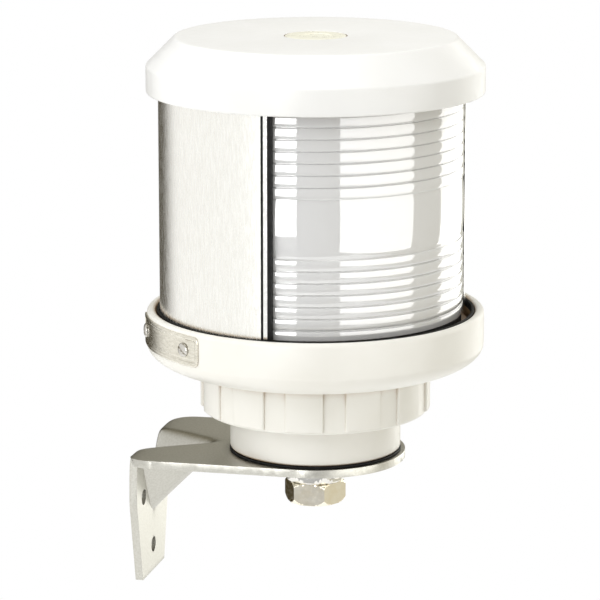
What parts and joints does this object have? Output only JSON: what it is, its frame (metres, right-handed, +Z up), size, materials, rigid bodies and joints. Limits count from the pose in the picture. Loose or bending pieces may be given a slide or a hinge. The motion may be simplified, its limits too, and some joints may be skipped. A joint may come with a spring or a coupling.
{
  "type": "navigation light",
  "caption": "Ship's side light: ribbed clear lens in a metal shield between a round lid and collar, on a foot with a union ring, a cable gland and a bent wall bracket.",
  "frame": {"origin": "centre of the three wall holes, on the bracket's face that meets the wall", "axes": "+X away from the wall to the light's axis, +Z up along the light's axis, -Y ahead"},
  "size_m": [0.1515, 0.147, 0.2438],
  "materials": {
    "bracket_steel": "warm satin stainless sheet, pressed and bent",
    "shield_steel": "satin stainless sheet with a fine brushed grain",
    "plate_steel": "brushed stainless nameplate, left blank",
    "edge_steel": "bright stainless strip",
    "screw_steel": "bright stainless fasteners",
    "housing_plastic": "satin off-white moulded plastic",
    "plug_plastic": "satin pale cream moulded plastic",
    "seal_rubber": "black moulded rubber",
    "washer_plastic": "dark self-lubricating plastic",
    "lens_clear": "clear moulded lens with ribs",
    "bulb_glass": "clear thin blown glass",
    "gland_chrome": "nickel-plated brass",
    "gland_nickel": "pale warm nickel-plated brass",
    "contact_brass": "plain brass",
    "ceramic": "glazed off-white ceramic",
    "wire_sleeve": "brown heat-proof wire sleeve",
    "filament": "dark tungsten wire on a glass stem"
  },
  "bodies": {
    "base": {"bracket": "bracket_steel", "foot_gasket": "seal_rubber", "foot": "housing_plastic", "foot_screws": "screw_steel", "gland_gasket": "seal_rubber", "gland_body": "gland_chrome", "gland_locknut": "gland_chrome", "gland_seal": "seal_rubber", "holder_post": "screw_steel", "post_screws": "screw_steel", "terminal_block": "ceramic", "terminal_screws": "contact_brass", "lamp_wires": "wire_sleeve", "lamp_holder": "ceramic", "holder_ring": "screw_steel", "holder_contact": "contact_brass", "flange_seal": "seal_rubber", "neck_seal": "seal_rubber"},
    "head": {"collar": "housing_plastic", "rim_seal": "seal_rubber", "lens_seat": "seal_rubber", "lens": "lens_clear", "shield": "shield_steel", "edge_seal": "seal_rubber", "cutoff_blade": "edge_steel", "lid_seal": "seal_rubber", "lid": "housing_plastic", "shield_screws": "screw_steel", "lid_plug": "plug_plastic", "plug_seal": "seal_rubber", "nameplate": "plate_steel", "nameplate_screws": "screw_steel"},
    "slip_ring": {"slip_washer": "washer_plastic"},
    "ring": {"union_ring": "housing_plastic"},
    "lamp": {"lamp_cap": "contact_brass", "lamp_pip": "contact_brass", "lamp_bulb": "bulb_glass", "lamp_filament": "filament"},
    "gland_slider": {"gland_washer": "contact_brass"},
    "gland_cap": {"gland_nut": "gland_nickel"}
  },
  "joints": [
    {"name": "head_lift", "type": "slide", "parent": "base", "child": "head", "axis": [0, 0, 1], "range_m": [0, 0.12]},
    {"name": "ring_drop", "type": "slide", "parent": "base", "child": "slip_ring", "axis": [0, 0, -1], "range_m": [0, 0.0121]},
    {"name": "ring_turn", "type": "hinge", "parent": "slip_ring", "child": "ring", "pos_m": [0.078, 0, 0.0605], "axis": [0, 0, -1], "range_deg": [0, 270]},
    {"name": "lamp_turn", "type": "hinge", "parent": "base", "child": "lamp", "pos_m": [0.078, 0, 0.0925], "axis": [0, 0, 1], "range_deg": [0, 20]},
    {"name": "gland_nut_drop", "type": "slide", "parent": "base", "child": "gland_slider", "axis": [0, 0, -1], "range_m": [0, 0.0062]},
    {"name": "gland_nut_turn", "type": "hinge", "parent": "gland_slider", "child": "gland_cap", "pos_m": [0.078, 0, 0.0145], "axis": [0, 0, -1], "range_deg": [0, 1440]}
  ],
  "couplings": [
    {"joint": "ring_drop", "follows": "ring_turn", "m_per_rad": 0.0025465},
    {"joint": "gland_nut_drop", "follows": "gland_nut_turn", "m_per_rad": 0.00023873}
  ]
}
